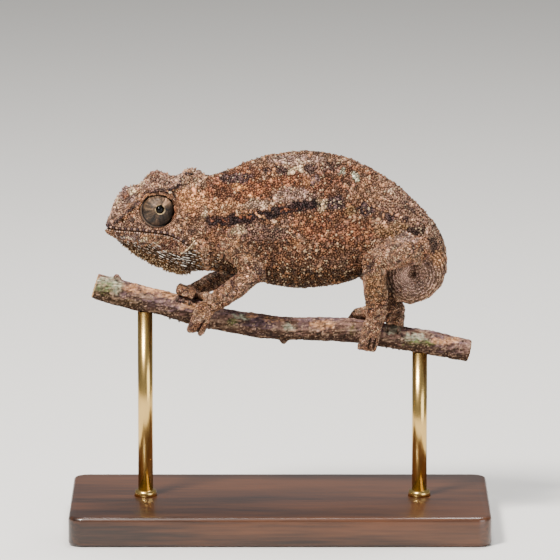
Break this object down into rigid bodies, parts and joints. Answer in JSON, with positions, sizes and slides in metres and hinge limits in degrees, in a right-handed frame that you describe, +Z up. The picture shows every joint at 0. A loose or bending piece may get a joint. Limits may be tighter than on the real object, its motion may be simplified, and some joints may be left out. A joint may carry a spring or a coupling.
{
  "type": "chameleon",
  "caption": "Life-size still model of a small brown forest chameleon gripping a cut twig, tail coiled under it, held up by rods on a plain flat base.",
  "frame": {"origin": "centre of the underside of the stand's base, on the floor", "axes": "+Z up; the head points to -X and the tail to +X; the animal's left side faces -Y, its right side +Y"},
  "size_m": [0.084, 0.044, 0.0763],
  "materials": {
    "skin": "dry granular scales, brown and rust with dark bands",
    "turret_skin": "fine smooth granules, olive grey-brown",
    "eyeball": "wet glossy black",
    "claw_horn": "satin horn",
    "twig_bark": "dry grey-brown bark with lichen",
    "base_wood": "dark satin oiled hardwood",
    "rod_brass": "satin"
  },
  "bodies": {
    "root": {"casque": "skin", "head": "skin", "left_eye": "eyeball", "left_eye_turret": "turret_skin", "left_forearm": "skin", "left_front_claw_1": "claw_horn", "left_front_claw_2": "claw_horn", "left_front_claw_3": "claw_horn", "left_front_claw_4": "claw_horn", "left_front_claw_5": "claw_horn", "left_front_inner_toes": "skin", "left_front_outer_toes": "skin", "left_hind_claw_1": "claw_horn", "left_hind_claw_2": "claw_horn", "left_hind_claw_3": "claw_horn", "left_hind_claw_4": "claw_horn", "left_hind_claw_5": "claw_horn", "left_hind_inner_toes": "skin", "left_hind_outer_toes": "skin", "left_shank": "skin", "left_thigh": "skin", "left_upper_arm": "skin", "lower_jaw": "skin", "neck": "skin", "perch": "twig_bark", "right_eye": "eyeball", "right_eye_turret": "turret_skin", "right_forearm": "skin", "right_front_claw_1": "claw_horn", "right_front_claw_2": "claw_horn", "right_front_claw_3": "claw_horn", "right_front_claw_4": "claw_horn", "right_front_claw_5": "claw_horn", "right_front_inner_toes": "skin", "right_front_outer_toes": "skin", "right_hind_claw_1": "claw_horn", "right_hind_claw_2": "claw_horn", "right_hind_claw_3": "claw_horn", "right_hind_claw_4": "claw_horn", "right_hind_claw_5": "claw_horn", "right_hind_inner_toes": "skin", "right_hind_outer_toes": "skin", "right_shank": "skin", "right_thigh": "skin", "right_upper_arm": "skin", "stand_base": "base_wood", "stand_rod_front": "rod_brass", "stand_rod_rear": "rod_brass", "tail_base": "skin", "tail_middle": "skin", "tail_tip": "skin", "trunk": "skin"}
  },
  "joints": []
}
